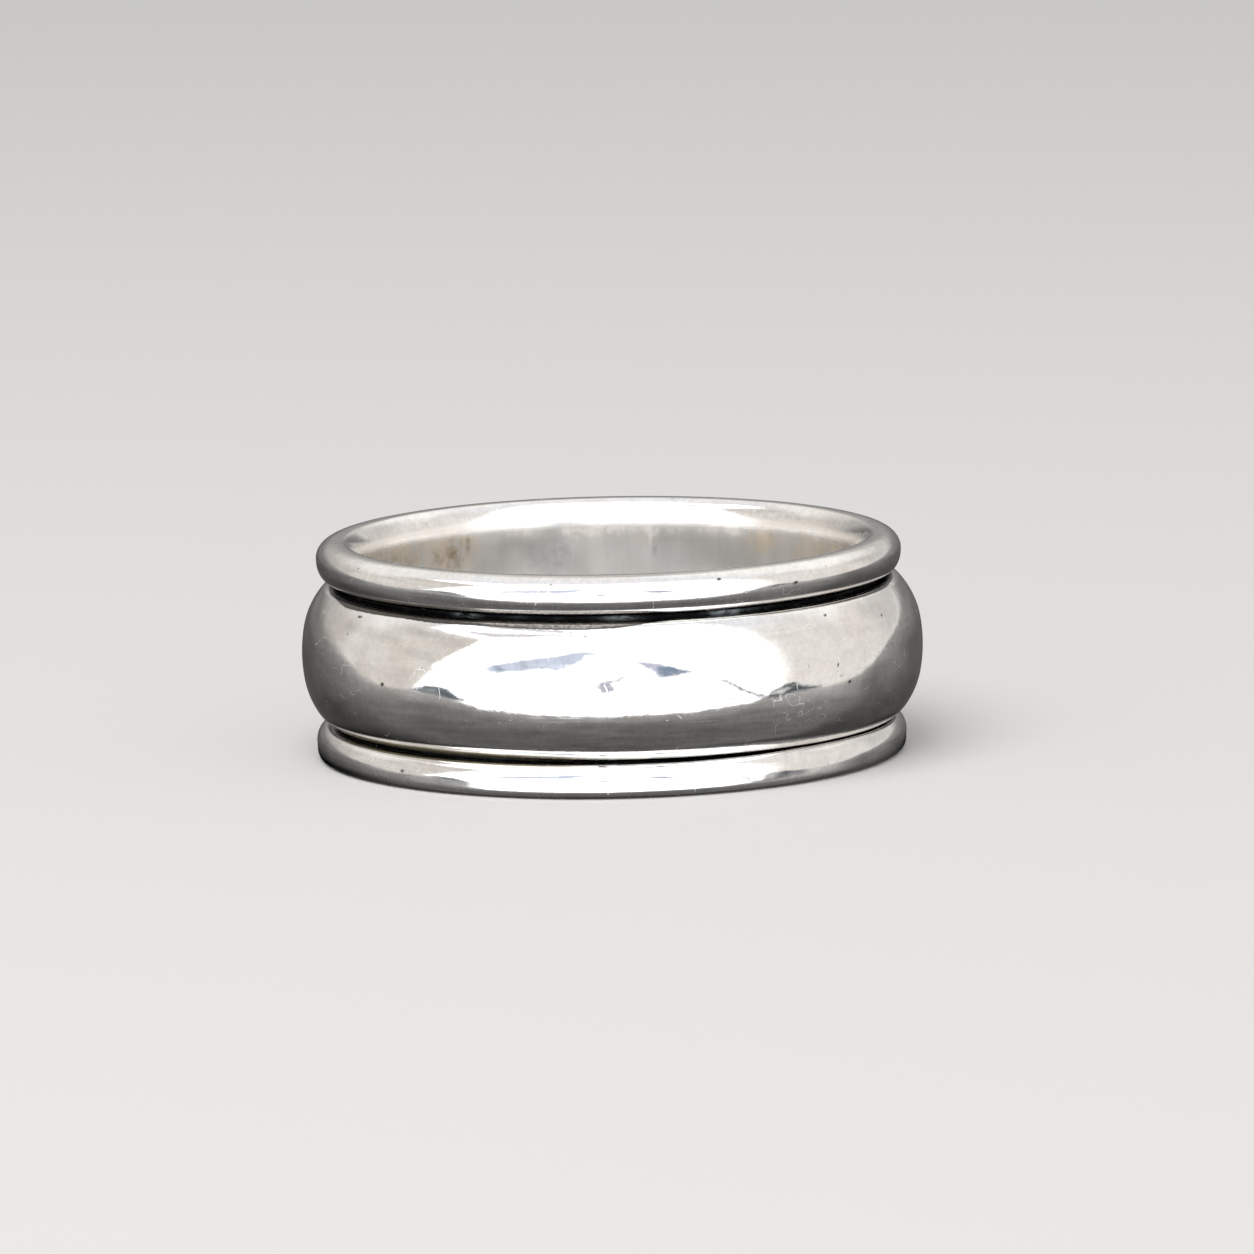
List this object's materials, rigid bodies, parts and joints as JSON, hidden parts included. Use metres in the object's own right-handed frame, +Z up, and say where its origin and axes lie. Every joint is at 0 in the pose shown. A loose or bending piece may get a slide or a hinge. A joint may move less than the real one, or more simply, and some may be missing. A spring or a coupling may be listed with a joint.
{
  "type": "spinner ring",
  "caption": "Wide finger ring with a plain domed band that turns freely between two rounded rims on an inner sleeve.",
  "frame": {"origin": "on the ring's axis, at the surface that the lower rim rests on", "axes": "+Z up along the finger hole, -Y towards the side that the picture shows"},
  "size_m": [0.023, 0.023, 0.0081],
  "materials": {
    "sleeve_silver": "polished, dulled inside the finger hole and dark in the groove",
    "band_silver": "polished with fine scratches"
  },
  "bodies": {
    "inner_band": {"inner_band": "sleeve_silver"},
    "spinner_band": {"spinner_band": "band_silver"}
  },
  "joints": [
    {"name": "spin", "type": "hinge", "parent": "inner_band", "child": "spinner_band", "pos_m": [0.00008, 0, 0.00388], "axis": [0, 0, 1], "continuous": true}
  ]
}
